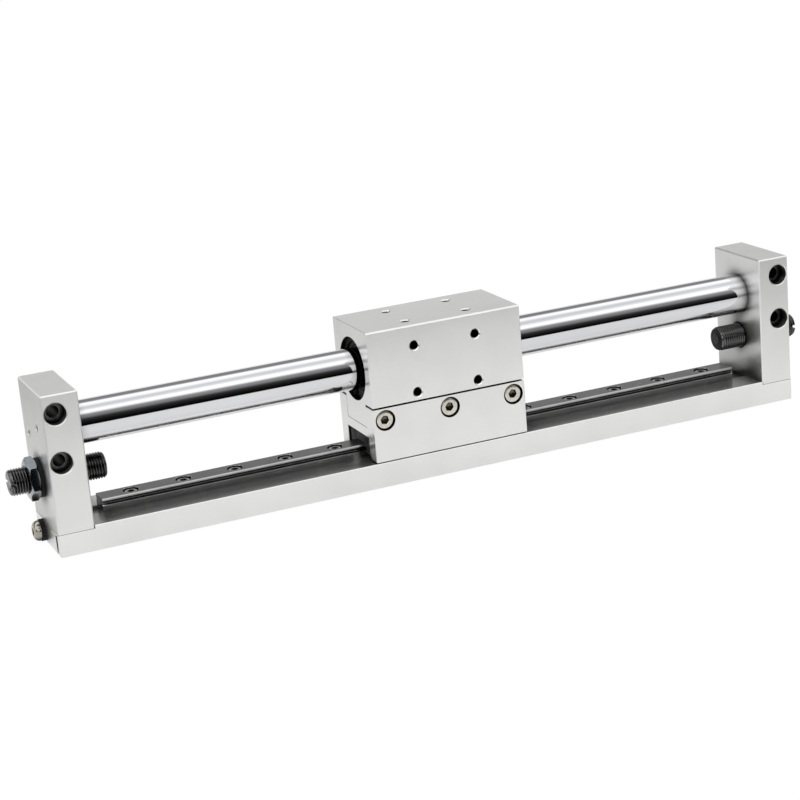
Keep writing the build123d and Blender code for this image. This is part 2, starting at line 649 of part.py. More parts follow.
def make_carriage_caps():
    x0 = -BLOCK_LENGTH / 2 - CAP_LENGTH
    cap = carriage_section(x0, x0 + CAP_LENGTH, CAP_STEP)
    half = RAIL_WIDTH / 2 + CHANNEL_CLEAR
    cap -= block(x0 - 1, x0 + CAP_LENGTH + 1, -half, half, 0, RAIL_TOP_Z + CHANNEL_CLEAR)
    for y, z in cap_screw_places():
        cap -= rod(x0 - 1, x0 + CAP_LENGTH + 1, CAP_SCREW_R + THREAD_PLAY, y, z)
    return group([placed for c in CARRIAGE_PLACES for placed in at_carriage_ends(cap, c)])


def make_carriage_seals():
    x0 = -CARRIAGE_LENGTH / 2
    seal = carriage_section(x0, x0 + SEAL_PLATE, 2 * CAP_STEP)
    seal -= section_along_x(rail_outline(SEAL_CLEAR), x0 - 1, x0 + SEAL_PLATE + 1)
    for y, z in cap_screw_places():
        seal -= rod(x0 - 1, x0 + SEAL_PLATE + 1, CAP_SCREW_HEAD_R + SEAT_PLAY, y, z)
    return group([placed for c in CARRIAGE_PLACES for placed in at_carriage_ends(seal, c)])


def make_cap_screws():
    seat = -BLOCK_LENGTH / 2 - CAP_LENGTH
    screws = []
    for y, z in cap_screw_places():
        screw = rod(seat - CAP_SCREW_HEAD_H, seat, CAP_SCREW_HEAD_R, y, z)
        screw += rod(seat, seat + CAP_SCREW_LENGTH, CAP_SCREW_R, y, z)
        screws.append(screw)
    pair = group(screws)
    return group([placed for c in CARRIAGE_PLACES for placed in at_carriage_ends(pair, c)])


def make_balls():
    balls = []
    for centre in CARRIAGE_PLACES:
        for i in range(BALLS_PER_ROW):
            x = centre + (i - (BALLS_PER_ROW - 1) / 2) * BALL_STEP
            for y in (-TRACK_Y, TRACK_Y):
                balls.append(Pos(x, y, TRACK_Z) * Sphere(BALL_R))
    return group(balls)


def make_piston_shaft():
    end = PISTON_END + SHAFT_NUT_THICK + SHAFT_PROUD
    shaft = rod(SLIDER_X - end, SLIDER_X + end, SHAFT_R, 0, TUBE_Z)
    return chamfer(shaft.edges().filter_by(GeomType.CIRCLE), SHAFT_PROUD * 0.8)


def inner_stack(first, count, length, r):
    start = SLIDER_X - STACK_LENGTH / 2 + first
    rings = []
    for i in range(count):
        x = start + i * STACK_STEP
        rings.append(ring(x, x + length, r, SHAFT_R + SEAT_PLAY, 0, TUBE_Z))
    return group(rings)


def make_inner_yokes():
    return inner_stack(0, MAGNET_COUNT + 1, YOKE_LENGTH, INNER_YOKE_R)


def make_inner_magnets():
    return inner_stack(YOKE_LENGTH, MAGNET_COUNT, MAGNET_LENGTH, INNER_MAGNET_R)


PISTON_X0 = SLIDER_X - PISTON_END
SEAL_X0 = PISTON_X0 + PISTON_SEAL_INSET
BAND_X0 = SEAL_X0 + PISTON_SEAL_WIDTH + PISTON_SEAL_INSET


def make_piston(mirror_it):
    body = ring(PISTON_X0, PISTON_X0 + PISTON_LENGTH, PISTON_R, SHAFT_R + SEAT_PLAY, 0, TUBE_Z)
    seal_end = SEAL_X0 + PISTON_SEAL_WIDTH
    band_end = BAND_X0 + PISTON_BAND_WIDTH
    body -= ring(SEAL_X0, seal_end, PISTON_R + 1, PISTON_R - PISTON_GROOVE, 0, TUBE_Z)
    body -= ring(BAND_X0, band_end, PISTON_R + 1, PISTON_R - PISTON_BAND_GROOVE, 0, TUBE_Z)
    return Pos(2 * SLIDER_X, 0, 0) * mirrored(body) if mirror_it else body


def make_piston_seals():
    # a cup seal: its lip flares towards the tube at the pressure side
    width = PISTON_SEAL_WIDTH - 2 * SEAT_PLAY
    x0 = SEAL_X0 + SEAT_PLAY
    core = ring(x0, x0 + width, PISTON_R, PISTON_R - PISTON_GROOVE + SEAT_PLAY, 0, TUBE_Z)
    lip_r = TUBE_BORE_R - RUNNING
    flare = Pos(x0 + width / 2, 0, TUBE_Z) * along_x(Cone(lip_r, PISTON_R, width))
    lip = flare - rod(x0 - 1, x0 + width + 1, PISTON_R - PISTON_GROOVE / 2, 0, TUBE_Z)
    return at_slider_ends(core + lip)


def make_piston_bands():
    x0 = BAND_X0 + SEAT_PLAY
    x1 = BAND_X0 + PISTON_BAND_WIDTH - SEAT_PLAY
    inner = PISTON_R - PISTON_BAND_GROOVE + SEAT_PLAY
    return at_slider_ends(ring(x0, x1, TUBE_BORE_R - RUNNING, inner, 0, TUBE_Z))


def make_piston_nuts():
    nut = hex_prism(SHAFT_NUT_FLATS, SHAFT_NUT_THICK) - Cylinder(SHAFT_R + THREAD_PLAY, 3 * SHAFT_NUT_THICK)
    return at_slider_ends(Pos(PISTON_X0, 0, TUBE_Z) * Rot(0, -90, 0) * nut)


def make_piston_bumpers():
    nut_corner = SHAFT_NUT_FLATS / sqrt(3) + RUNNING
    bumper = ring(PISTON_X0 - BUMPER_LENGTH, PISTON_X0, BUMPER_R, nut_corner, 0, TUBE_Z)
    outer_rim = bumper.edges().filter_by(GeomType.CIRCLE).group_by(Axis.X)[0].sort_by(SortBy.RADIUS)[-1]
    return at_slider_ends(chamfer(outer_rim, BUMPER_LENGTH / 8))


PIECES = {
    "base_plate": make_base_plate(),
    "end_plate_left": make_end_plate(False),
    "end_plate_right": make_end_plate(True),
    "end_plate_screws": make_plate_screws(),
    "cylinder_tube": make_tube(),
    "tube_seals": make_tube_seals(),
    "guide_rail": make_rail(),
    "rail_screws": make_rail_screws(),
    "stop_bolt_left": make_stop_bolt(STOP_INSIDE_LEFT),
    "stop_bolt_right": mirrored(make_stop_bolt(STOP_INSIDE_RIGHT)),
    "stop_insert_left": make_stop_insert(STOP_INSIDE_LEFT),
    "stop_insert_right": mirrored(make_stop_insert(STOP_INSIDE_RIGHT)),
    "stop_lock_nuts": make_stop_nuts(),
    "stop_washers": make_stop_washers(),
    "base_end_screws": make_end_screws(),
    "base_end_washers": make_end_washers(),
    "slider_block": make_slider_block(),
    "carriage_bracket": make_bracket(),
    "bracket_screws": make_bracket_screws(),
    "carriage_holding_screws": make_holding_screws(),
    "outer_yokes": make_outer_yokes(),
    "outer_magnets": make_outer_magnets(),
    "outer_bushes": make_outer_bushes(),
    "scrapers": make_scrapers(),
    "snap_rings": make_snap_rings(),
    "carriage_left": make_carriage(CARRIAGE_PLACES[0]),
    "carriage_right": make_carriage(CARRIAGE_PLACES[1]),
    "carriage_end_caps": make_carriage_caps(),
    "carriage_end_seals": make_carriage_seals(),
    "carriage_cap_screws": make_cap_screws(),
    "carriage_balls": make_balls(),
    "piston_shaft": make_piston_shaft(),
    "inner_yokes": make_inner_yokes(),
    "inner_magnets": make_inner_magnets(),
    "piston_left": make_piston(False),
    "piston_right": make_piston(True),
    "piston_seals": make_piston_seals(),
    "piston_wear_bands": make_piston_bands(),
    "piston_nuts": make_piston_nuts(),
    "piston_bumpers": make_piston_bumpers(),
}

os.makedirs("parts", exist_ok=True)
for name, piece in PIECES.items():
    export_step(piece, f"parts/{name}.step")

# Travel of the moving bodies from the place they are drawn in
SLIDER_TO_LEFT = SLIDER_X0 - (-PLATE_INNER_X + STOP_INSIDE_LEFT + INSERT_PROUD) - TRAVEL_MARGIN
SLIDER_TO_RIGHT = (PLATE_INNER_X - STOP_INSIDE_RIGHT - INSERT_PROUD) - SLIDER_X1 - TRAVEL_MARGIN
print(f"slider travel {-SLIDER_TO_LEFT:.2f} to {SLIDER_TO_RIGHT:.2f}, stop bolts out by {STOP_SCREWED_OUT:.1f}")
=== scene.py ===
import json
import math

import bpy
from mathutils import Matrix, Vector


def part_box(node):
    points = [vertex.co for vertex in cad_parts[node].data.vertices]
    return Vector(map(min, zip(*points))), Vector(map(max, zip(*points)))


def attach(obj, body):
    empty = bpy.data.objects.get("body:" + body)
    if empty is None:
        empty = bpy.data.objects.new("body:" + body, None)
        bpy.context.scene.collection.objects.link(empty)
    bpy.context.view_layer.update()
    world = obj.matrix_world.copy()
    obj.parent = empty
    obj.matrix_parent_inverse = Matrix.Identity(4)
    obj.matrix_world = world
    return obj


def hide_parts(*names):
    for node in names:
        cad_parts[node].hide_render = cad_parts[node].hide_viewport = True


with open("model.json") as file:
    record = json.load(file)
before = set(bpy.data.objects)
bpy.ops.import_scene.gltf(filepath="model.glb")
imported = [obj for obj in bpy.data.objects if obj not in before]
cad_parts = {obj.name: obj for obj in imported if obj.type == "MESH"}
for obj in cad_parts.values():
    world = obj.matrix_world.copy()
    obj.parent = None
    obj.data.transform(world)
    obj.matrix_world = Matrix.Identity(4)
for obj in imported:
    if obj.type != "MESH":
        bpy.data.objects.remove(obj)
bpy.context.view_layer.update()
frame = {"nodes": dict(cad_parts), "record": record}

MM = 0.001
MICRON = 0.001 * MM
nodes_of = frame["nodes"]
slot_of = {s["node"]: s["material_slot"] for s in frame["record"]["subparts"]}

# Sizes of the forms that the plain solids lack, in metres and radians. All others are read from the frame.
TUBE_WALL = 0.4 * MM
TUBE_SEGMENTS = 256

TRACK_BELOW_TOP = 1.75 * MM
TRACK_R = 0.8 * MM
TRACK_OUT = 0.3 * MM
TRACK_LIP = 0.15 * MM
# The round part of a ball groove keeps this share of its arc, and sloped lips take the rest.
TRACK_SHARE = 0.6
TRACK_STEPS = 12
RAIL_EDGE = 0.4 * MM
RAIL_SCREWS = 13
RECESS_R = 3.0 * MM
RECESS_DEPTH = 3.5 * MM
RECESS_EDGE = 0.15 * MM
RECESS_SEGMENTS = 64
RAIL_BORE_R = 1.75 * MM

THREAD_PITCH = 1.0 * MM
THREAD_DEPTH = 0.5 * MM
THREAD_FLAT = 0.15
THREAD_SEGMENTS = 96
ROWS_PER_TURN = 8
POCKET_R = 2.4 * MM
POCKET_DEPTH = 3.6 * MM
SLOT_WIDTH = 1.4 * MM
SLOT_DEPTH = 1.6 * MM

NUT_FLATS = 14.0 * MM
NUT_THICK = 3.6 * MM
NUT_BORE_R = 4.9 * MM
NUT_TURN = math.radians(12.0)
NUT_CHAMFER = math.radians(28.0)
NUT_SEGMENTS = 144

SCREW_R = 2.0 * MM
SOCKET_SEGMENTS = 72
CAP_HEAD_R = 3.5 * MM
CAP_HEAD_HEIGHT = 4.0 * MM
CAP_KEY = 3.0 * MM
CAP_LENGTH = 10.0 * MM
CAP_TURN_FRONT = 0.3
CAP_TURN_BACK = 0.7
BUTTON_HEIGHT = 2.6 * MM
BUTTON_KEY = 2.5 * MM
BUTTON_LENGTH = 5.0 * MM

SHARP_DEG = 32.0
THREAD_SHARP_DEG = 60.0

# The room is a long light tent. Its brightness depends on the angle round the X axis, from the horizon in
# front (0 degrees) over the top (90) to the horizon behind (180).
ROOM = [
    (-180, 1.0), (-90, 0.6), (-12, 0.05), (-2, 0.003), (9, 0.006), (19, 0.02), (25, 0.035), (31, 0.11),
    (36, 0.23), (45, 0.29), (50, 0.45), (55, 0.95), (60, 1.35), (69, 1.35), (76, 0.98), (84, 0.78),
    (92, 0.78), (99, 1.05), (108, 1.3), (119, 1.3), (125, 0.6), (132, 0.26), (160, 0.26), (167, 0.88),
    (172, 1.08), (180, 1.08),
]
# The ramp holds the levels divided by this, so that they stay below 1. The room shines by as much more.
ROOM_SCALE = 2.0
# Towards the right, the bands in front are this many degrees lower. It fades out up to the top.
TWIST = 8.0
TWIST_FROM_X = 0.2
TWIST_TO_X = 0.5
TWIST_FULL_BELOW = 55.0
TWIST_NONE_ABOVE = 90.0

# How much light is painted into the floor from front to back, by Y in metres, in its colour and in how
# much it glows for the metal: a pool of light round the object. In front it ends in painted dark.
FLOOR_LIGHT_PAINTED_Y = [
    (-0.5, 0.0), (-0.305, 0.03), (-0.285, 0.75), (-0.235, 0.95), (-0.2, 1.0), (0.02, 1.0), (0.1, 0.78),
    (0.3, 0.6), (0.5, 0.5),
]
# How much light is painted into it from left to right, by X in metres
FLOOR_LIGHT_PAINTED_X = [
    (-0.5, 0.45), (-0.3, 0.5), (-0.25, 0.6), (-0.2, 0.8), (-0.16, 1.0), (0.17, 1.0), (0.22, 0.85),
    (0.3, 0.8), (0.5, 0.75),
]
FLOOR_HALF = 4.0
FLOOR_DROP = 0.2 * MM
FLOOR_ALBEDO = 0.82
FLOOR_GLOW = 1.03
FLOOR_GLOSS_SHARE = 0.48
SHADOW_SHARE = 0.06

LAMP_PLACE = (-0.95, -1.35, 0.6)
LAMP_AIM = (0, 0, 0.03)
LAMP_WIDTH = 1.5
LAMP_HEIGHT = 0.9
LAMP_WATTS = 4.0

# The camera, where the photograph was taken from, in metres, radians and millimetres of lens and film
CAMERA_PLACE = (-0.298275, -0.704384, 0.252084)
CAMERA_TURN = (1.28227036, 0.08222945, -0.41052199)
CAMERA_LENS = 93.936
CAMERA_FILM = 36.0
CAMERA_NEAR = 0.05


# Meshes. Every piece is made in metres in the part's own frame.

def mesh_object(name, verts, faces, sharp_deg=SHARP_DEG):
    mesh = bpy.data.meshes.new(name)
    mesh.from_pydata([tuple(v) for v in verts], [], faces)
    mesh.validate()
    mesh.shade_smooth()
    mesh.set_sharp_from_angle(angle=math.radians(sharp_deg))
    piece = bpy.data.objects.new(name, mesh)
    bpy.context.scene.collection.objects.link(piece)
    return piece


class Rings:
    """Closed rings of points stacked along an axis, joined into one skin."""

    def __init__(self, segments):
        self.segments = segments
        self.verts = []
        self.faces = []
        self.last = None

    def ring(self, radius, height):
        """radius and height are numbers, or functions of the angle"""
        first = len(self.verts)
        for i in range(self.segments):
            a = 2 * math.pi * i / self.segments
            r = radius(a) if callable(radius) else radius
            h = height(a) if callable(height) else height
            self.verts.append(Vector((r * math.cos(a), r * math.sin(a), h)))
        if self.last is not None:
            self.join(self.last, first)
        self.last = first
        return first

    def join(self, first_a, first_b):
        """a band of faces between two rings, given by their first points"""
        for i in range(self.segments):
            j = (i + 1) % self.segments
            self.faces.append((first_a + i, first_a + j, first_b + j, first_b + i))

    def cap(self, height, first=None):
        """closes the last ring, or the one that starts at a point, with a tip"""
        start = self.last if first is None else first
        tip = len(self.verts)
        self.verts.append(Vector((0, 0, height)))
        for i in range(self.segments):
            j = (i + 1) % self.segments
            face = (start + i, start + j, tip)
            self.faces.append(face if first is None else face[::-1])


def at(point, direction=(0, 0, 1), turn=0.0):
    """moves to a point, with +Z towards a direction, after a turn about Z"""
    towards = Vector(direction).to_track_quat("Z", "Y").to_matrix().to_4x4()
    return Matrix.Translation(Vector(point)) @ towards @ Matrix.Rotation(turn, 4, "Z")


def placed(shapes):
    """joins (rings, matrix) pairs into one list of points and faces"""
    verts = []
    faces = []
    for rings, matrix in shapes:
        start = len(verts)
        verts.extend(matrix @ v for v in rings.verts)
        faces.extend(tuple(i + start for i in face) for face in rings.faces)
    return verts, faces


def hexagon(flats):
    """the radius of a hexagon at an angle"""
    def radius(a):
        sector = math.pi / 3
        off = (a + sector / 2) % sector - sector / 2
        return flats / 2 / math.cos(off)
    return radius


def shank(rings, thread_r, length):
    """a screw's thread, from its chamfered tip up to the head's seat at height 0"""
    chamfer = thread_r * 0.2
    rings.ring(thread_r - chamfer, -length)
    rings.ring(thread_r, chamfer - length)
    rings.ring(thread_r, 0)


def dome(rings, inner_r, outer_r, low, high, steps):
    """a quarter round from the outer radius at the low height to the inner one at the high height"""
    for i in range(1, steps + 1):
        t = math.pi / 2 * i / steps
        rings.ring(inner_r + (outer_r - inner_r) * math.cos(t), low + (high - low) * math.sin(t))


def hex_socket(rings, key, top, lip, depth):
    """a hexagon socket with a broken edge and a drilled bottom"""
    mouth = hexagon(key)
    drill_tip = key * 0.2
    rings.ring(lambda a: mouth(a) + lip, top)
    rings.ring(mouth, top - lip)
    rings.ring(mouth, top - depth)
    rings.cap(top - depth - drill_tip)


def cap_screw(thread_r, head_r, head_h, key, length):
    """a socket cap screw with its head's seat at height 0 and its thread pointing down"""
    s = Rings(SOCKET_SEGMENTS)
    round_off = head_h * 0.16
    shank(s, thread_r, length)
    s.ring(head_r, 0)
    s.ring(head_r, head_h - round_off)
    dome(s, head_r - round_off, head_r, head_h - round_off, head_h, steps=4)
    hex_socket(s, key, head_h, lip=head_r * 0.06, depth=head_h * 0.5)
    s.cap(-length, first=0)
    return s


def button_screw(thread_r, head_r, head_h, key, length):
    """a button head screw, placed as the cap screw is"""
    s = Rings(SOCKET_SEGMENTS)
    rim = head_h * 0.18
    crown_r = key * 0.72
    shank(s, thread_r, length)
    s.ring(head_r * 0.97, 0)
    s.ring(head_r, rim * 0.4)
    s.ring(head_r, rim)
    dome(s, crown_r, head_r, rim, head_h, steps=10)
    hex_socket(s, key, head_h, lip=head_r * 0.05, depth=head_h * 0.55)
    s.cap(-length, first=0)
    return s


def hex_nut(flats, thick, hole_r):
    """a nut between height 0 and thick, with the round chamfers that trim its corners"""
    s = Rings(NUT_SEGMENTS)
    outline = hexagon(flats)
    circle = flats / 2 * 0.97
    bore_lip = hole_r * 0.07

    def drop(a):
        return max(0.0, outline(a) - circle) * math.tan(NUT_CHAMFER)

    start = s.ring(hole_r, bore_lip)
    s.ring(hole_r + bore_lip, 0)
    s.ring(circle, 0)
    s.ring(outline, drop)
    s.ring(outline, lambda a: thick - drop(a))
    s.ring(circle, thick)
    s.ring(hole_r + bore_lip, thick)
    last = s.ring(hole_r, thick - bore_lip)
    s.join(last, start)
    return s


def threaded_bolt(length, major_r):
    """a bolt threaded all along, from height 0, its outer end, to its inner end with a pocket"""
    s = Rings(THREAD_SEGMENTS)
    rows = int(length / THREAD_PITCH * ROWS_PER_TURN)
    root = major_r - THREAD_DEPTH
    faded_r = root - THREAD_DEPTH * 0.2
    end_r = (root - THREAD_DEPTH * 0.25) * 0.97

    def radius(h):
        run_in = min(1.0, h / THREAD_PITCH, (length - h) / THREAD_PITCH)
        limit = faded_r + (major_r - faded_r) * run_in

        def at_angle(a):
            phase = (h / THREAD_PITCH - a / (2 * math.pi)) % 1.0
            ridge = 1 - abs(2 * phase - 1)
            crest = min(1.0, max(0.0, ridge * (1 + 2 * THREAD_FLAT) - THREAD_FLAT))
            return min(root + THREAD_DEPTH * crest, limit)
        return at_angle

    s.ring(end_r, 0)
    for i in range(1, rows):
        h = length * i / rows
        s.ring(radius(h), h)
    s.ring(end_r, length)
    s.ring(POCKET_R, length)
    s.ring(POCKET_R, length - POCKET_DEPTH)
    s.cap(length - POCKET_DEPTH)
    s.cap(0, first=0)
    return s


def carve(piece, cutter):
    """cuts one closed mesh out of another, and leaves no modifier behind"""
    modifier = piece.modifiers.new("cut", "BOOLEAN")
    modifier.operation = "DIFFERENCE"
    modifier.solver = "EXACT"
    modifier.object = cutter
    ready = piece.evaluated_get(bpy.context.evaluated_depsgraph_get())
    mesh = bpy.data.meshes.new_from_object(ready)
    piece.modifiers.clear()
    piece.data = mesh
    bpy.data.objects.remove(cutter)


def brick(name, low, high):
    """a closed box between two corners"""
    xs, ys, zs = zip(low, high)
    corners = [Vector((x, y, z)) for z in zs for y in ys for x in xs]
    faces = [(0, 2, 3, 1), (4, 5, 7, 6), (0, 1, 5, 4), (2, 6, 7, 3), (0, 4, 6, 2), (1, 3, 7, 5)]
    return mesh_object(name, corners, faces)


def lathe_x(name, profile, segments, y, z):
    """turns a closed profile of (x, r) points about a line along X"""
    verts = []
    faces = []
    for x, r in profile:
        for i in range(segments):
            a = 2 * math.pi * i / segments
            verts.append((x, y + r * math.cos(a), z + r * math.sin(a)))
    rows = [row * segments for row in range(len(profile))]
    for p, q in zip(rows, rows[1:] + rows[:1]):
        for i in range(segments):
            j = (i + 1) % segments
            faces.append((p + i, q + i, q + j, p + j))
    return mesh_object(name, verts, faces)


# Node trees

def grey(value):
    return (value, value, value * 1.01, 1)


class Graph:
    """A node tree with short ways to add what this scene needs."""

    def __init__(self, tree):
        self.tree = tree

    def new(self, kind, **values):
        """a new node; each value goes to the input or the property of that name"""
        node = self.tree.nodes.new(kind)
        for key, value in values.items():
            if key in node.inputs:
                node.inputs[key].default_value = value
            else:
                setattr(node, key, value)
        return node

    def link(self, a, b):
        self.tree.links.new(a, b)

    def sum_of(self, operation, a, b):
        """one sum on two values, each a number or a socket"""
        node = self.new("ShaderNodeMath", operation=operation)
        for socket, value in zip(node.inputs, (a, b)):
            if isinstance(value, (int, float)):
                socket.default_value = value
            else:
                self.link(value, socket)
        return node.outputs[0]

    def times(self, a, b):
        return self.sum_of("MULTIPLY", a, b)

    def plus(self, a, b):
        return self.sum_of("ADD", a, b)

    def largest(self, a, b):
        return self.sum_of("MAXIMUM", a, b)

    def mixed(self, share, a, b):
        """two shaders, the second one with the given share"""
        node = self.new("ShaderNodeMixShader")
        self.link(share, node.inputs["Fac"])
        self.link(a.outputs[0], node.inputs[1])
        self.link(b.outputs[0], node.inputs[2])
        return node.outputs[0]

    def axis(self, vector, name):
        """the X, Y or Z part of a vector"""
        split = self.new("ShaderNodeSeparateXYZ")
        self.link(vector, split.inputs[0])
        return split.outputs[name]

    def spread(self, value, low, high, from_low=0.3, from_high=0.7):
        """spreads a value from one range over another, and stops at its ends"""
        node = self.new("ShaderNodeMapRange")
        node.inputs["From Min"].default_value = from_low
        node.inputs["From Max"].default_value = from_high
        node.inputs["To Min"].default_value = low
        node.inputs["To Max"].default_value = high
        self.link(value, node.inputs["Value"])
        return node.outputs["Result"]

    def ramp(self, value, stops):
        """greys along a value, from (place, level) pairs with places in the value's own units"""
        low = stops[0][0]
        high = stops[-1][0]
        node = self.new("ShaderNodeValToRGB")
        elements = node.color_ramp.elements
        while len(elements) > 1:
            elements.remove(elements[-1])
        elements[0].position = 0.0
        elements[0].color = grey(stops[0][1])
        for place, level in stops[1:]:
            elements.new((place - low) / (high - low)).color = grey(level)
        self.link(self.spread(value, 0.0, 1.0, low, high), node.inputs["Fac"])
        return node.outputs["Color"]


class Nodes(Graph):
    """A material on the principled shader, with its grain in the part's own metres."""

    def __init__(self, name):
        self.material = bpy.data.materials.new(name)
        self.material.use_nodes = True
        super().__init__(self.material.node_tree)
        self.shader = self.tree.nodes["Principled BSDF"]
        self.coords = self.new("ShaderNodeTexCoord")

    def set(self, **values):
        for key, value in values.items():
            self.shader.inputs[key.replace("_", " ")].default_value = value

    def noise(self, scale, detail=3.0, stretch=(1, 1, 1)):
        mapping = self.new("ShaderNodeMapping")
        mapping.inputs["Scale"].default_value = stretch
        self.link(self.coords.outputs["Object"], mapping.inputs["Vector"])
        node = self.new("ShaderNodeTexNoise", Scale=scale, Detail=detail, Roughness=0.55)
        self.link(mapping.outputs["Vector"], node.inputs["Vector"])
        return node.outputs["Fac"]

    def colour_from(self, value, low, high, from_low=0.3, from_high=0.7):
        node = self.new("ShaderNodeValToRGB")
        first, last = node.color_ramp.elements
        first.position = from_low
        first.color = (*low, 1)
        last.position = from_high
        last.color = (*high, 1)
        self.link(value, node.inputs["Fac"])
        self.link(node.outputs["Color"], self.shader.inputs["Base Color"])

    def roughness_from(self, value, low, high):
        self.link(self.spread(value, low, high), self.shader.inputs["Roughness"])

    def bump(self, value, height, strength):
        node = self.new("ShaderNodeBump", Strength=strength, Distance=height)
        self.link(value, node.inputs["Height"])
        self.link(node.outputs["Normal"], self.shader.inputs["Normal"])

    def multiply(self, factor):
        """multiplies the base colour that is there so far"""
        socket = self.shader.inputs["Base Color"]
        mix = self.new("ShaderNodeMix", data_type="RGBA", blend_type="MULTIPLY")
        mix.inputs[0].default_value = 1.0
        self.link(socket.links[0].from_socket, mix.inputs[6])
        self.link(factor, mix.inputs[7])
        self.link(mix.outputs[2], socket)

    def open_sky(self, reach, own=False, samples=12):
        """1 where nothing stands near, less in holes and corners; own leaves other pieces out"""
        node = self.new("ShaderNodeAmbientOcclusion", Distance=reach, samples=samples, only_local=own)
        return node.outputs["AO"]

    def paint_shade_in_hollows(self, reach, low, high, dark, **open_sky):
        """paints shade into the base colour in holes, seams and corners, where little of the room is seen
        """
        self.multiply(self.spread(self.open_sky(reach, **open_sky), dark, 1.0, low, high))

    def paint_shade_beside(self, where, reach, share, low, high):
        """paints shade and dark reflections into a smooth face where other things stand close in front of
        it
        """
        beside = self.spread(self.open_sky(reach), share, 0.0, low, high)
        self.multiply(self.spread(self.times(where, beside), 1.0, 0.0, 0.0, 1.0))

    def normal(self, name):
        return self.axis(self.new("ShaderNodeNewGeometry").outputs["Normal"], name)

    def facing_up(self):
        """1 where the surface faces up, 0 on the sides"""
        return self.spread(self.normal("Z"), 0.0, 1.0, 0.8, 0.98)

    def facing_along(self):
        """1 where the surface faces along X, to the left or right, 0 elsewhere"""
        return self.spread(self.sum_of("ABSOLUTE", self.normal("X"), 0.0), 0.0, 1.0, 0.8, 0.98)


# Materials. All are made of nodes.

def shade(c, factor):
    return tuple(min(1.0, v * factor) for v in c)


def clouded_aluminium(name, colour, metallic=0.92):
    """the start of a satin aluminium, with faint clouds in its colour"""
    n = Nodes(name)
    n.set(Metallic=metallic)
    n.colour_from(n.noise(scale=60.0, detail=2.0), shade(colour, 0.965), shade(colour, 1.02))
    return n


def blasted(n, rough):
    """the fine grain of a blasted face, in the roughness and the bump"""
    fine = n.noise(scale=5200.0, detail=2.0)
    n.roughness_from(fine, rough - 0.03, rough + 0.05)
    n.bump(fine, height=4 * MICRON, strength=0.5)


def satin_aluminium(name, colour, rough, metallic=0.92):
    n = clouded_aluminium(name, colour, metallic)
    # painted shade in holes, seams and corners
    n.paint_shade_in_hollows(reach=11 * MM, low=0.3, high=0.74, dark=0.025)
    blasted(n, rough)
    return n.material


def plate_aluminium(name, colour, rough):
    """the end plates: satin, with painted shade in their holes and corners, and painted shade and dark
    reflections on their wide faces where the tube, bolts and base stand close
    """
    n = clouded_aluminium(name, colour)
    n.paint_shade_in_hollows(reach=6.5 * MM, low=0.42, high=0.86, dark=0.02)
    n.paint_shade_beside(n.facing_along(), reach=35 * MM, share=0.8, low=0.3, high=0.85)
    blasted(n, rough)
    return n.material


def base_aluminium(name, colour, rough, top_rough):
    """the base bar: satin on its sides and smoother on top, with painted shade in its hollows, and painted
    shade and dark reflections on top beside the rail
    """
    n = clouded_aluminium(name, colour)
    n.paint_shade_in_hollows(reach=11 * MM, low=0.32, high=0.78, dark=0.012, own=True)
    up = n.facing_up()
    n.paint_shade_beside(up, reach=14 * MM, share=0.55, low=0.45, high=0.95)
    n.link(n.spread(up, rough, top_rough, 0.0, 1.0), n.shader.inputs["Roughness"])
    n.bump(n.noise(scale=5200.0, detail=2.0), height=4 * MICRON, strength=0.5)
    return n.material


def polished_tube(name):
    """the tube: a mirror with faint lines drawn along it, and painted shade where it runs close to the
    slider and the end plates
    """
    n = Nodes(name)
    n.set(Metallic=1.0)
    clouds = n.noise(scale=90.0, detail=2.0, stretch=(0.2, 1, 1))
    n.colour_from(clouds, (0.75, 0.755, 0.775), (0.83, 0.835, 0.85))
    n.paint_shade_in_hollows(reach=10 * MM, low=0.3, high=0.75, dark=0.06)
    lines = n.noise(scale=900.0, stretch=(0.012, 1, 1))
    n.roughness_from(lines, 0.04, 0.075)
    n.bump(lines, height=1.2 * MICRON, strength=0.3)
    return n.material


def ground_steel(name, colour, rough, stretch=(0.03, 1, 1)):
    n = Nodes(name)
    n.set(Metallic=1.0)
    n.colour_from(n.noise(scale=120.0), shade(colour, 0.9), shade(colour, 1.1))
    # painted shade in holes, grooves and corners
    n.paint_shade_in_hollows(reach=1.8 * MM, low=0.4, high=0.7, dark=0.02)
    lines = n.noise(scale=3800.0, stretch=stretch)
    n.roughness_from(lines, rough - 0.05, rough + 0.08)
    n.bump(lines, height=4 * MICRON, strength=0.5)
    return n.material


def ground_rail(name, top, side, rough):
    """the guide rail: painted darker on top and lighter on its sides as the light falls, with painted
    black shade in its ball grooves and counterbores, and painted shade near other pieces and on its ends
    """
    n = Nodes(name)
    n.set(Metallic=1.0)
    # painted light: a darker colour for the top, a lighter one for the sides
    n.colour_from(n.facing_up(), side, top, 0.0, 1.0)
    n.multiply(n.spread(n.noise(scale=120.0), 0.92, 1.08))
    # painted shade: black in the grooves and counterbores, then darker near other pieces and on the ends
    n.paint_shade_in_hollows(reach=4 * MM, low=0.86, high=0.91, dark=0.005, own=True, samples=64)
    n.paint_shade_in_hollows(reach=12 * MM, low=0.1, high=0.45, dark=0.05)
    n.paint_shade_beside(n.facing_along(), reach=12 * MM, share=0.9, low=0.45, high=0.95)
    lines = n.noise(scale=3800.0, stretch=(0.03, 1, 1))
    n.roughness_from(lines, rough - 0.04, rough + 0.06)
    n.bump(lines, height=3 * MICRON, strength=0.3)
    return n.material


# How much shade is painted into the plated pieces' holes and corners
PLATED_PAINTED_SHADE = dict(reach=5 * MM, low=0.25, high=0.7, dark=0.02)


